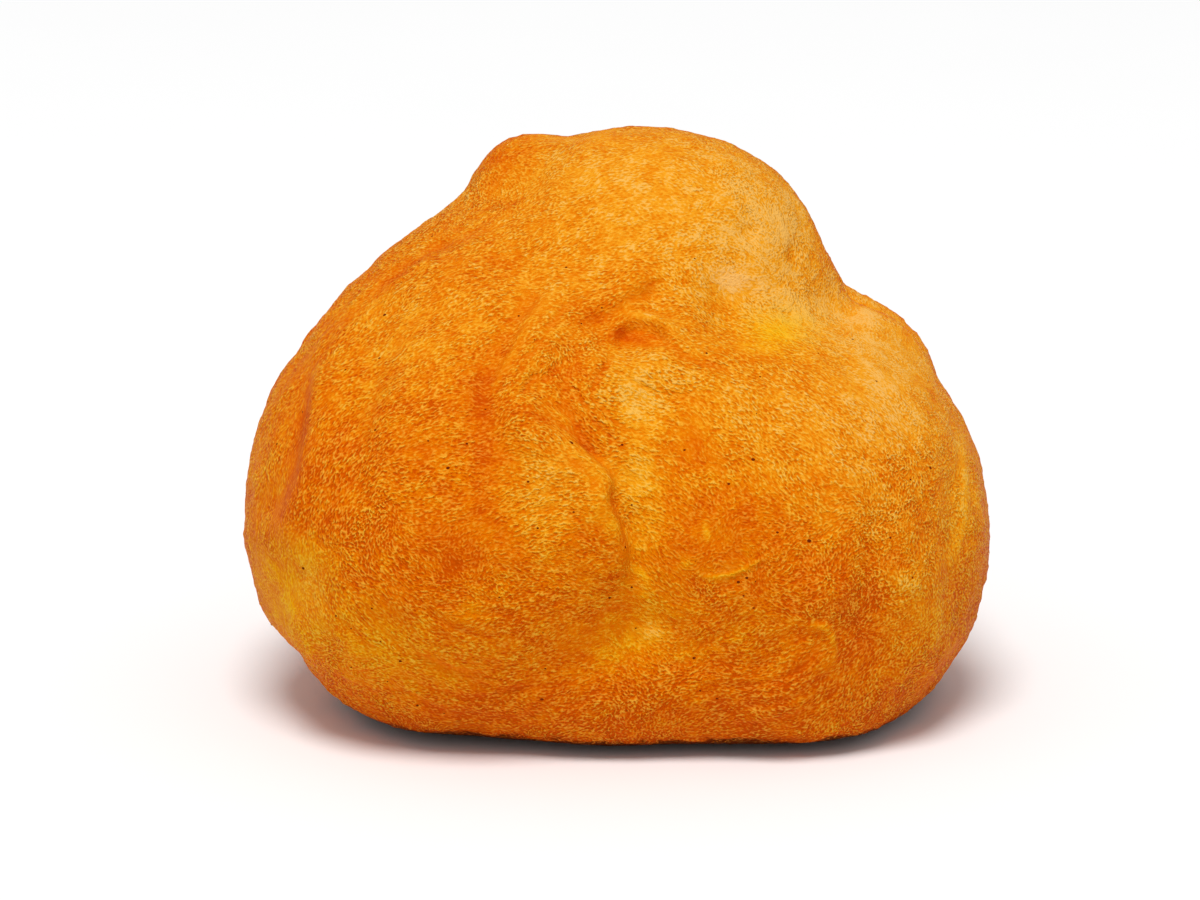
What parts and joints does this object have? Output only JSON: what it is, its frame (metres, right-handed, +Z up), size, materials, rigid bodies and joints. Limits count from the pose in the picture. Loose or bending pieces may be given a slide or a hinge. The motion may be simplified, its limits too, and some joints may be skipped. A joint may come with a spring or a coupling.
{
  "type": "choux bun",
  "caption": "Uncut baked choux bun: puffed golden lobes with folds, furrows and pale dents, on a flat browned underside.",
  "frame": {"origin": "middle of the bun's footprint box, on the surface that it rests on", "axes": "+Z up, -Y towards the front with the cheek fold, +X to the right as seen from the front"},
  "size_m": [0.07, 0.0588, 0.0529],
  "materials": {
    "baked_crust": "dry satin baked crust, finely crinkled, golden orange with paler hollows and a darker brown base"
  },
  "bodies": {
    "root": {"choux_bun": "baked_crust"}
  },
  "joints": []
}
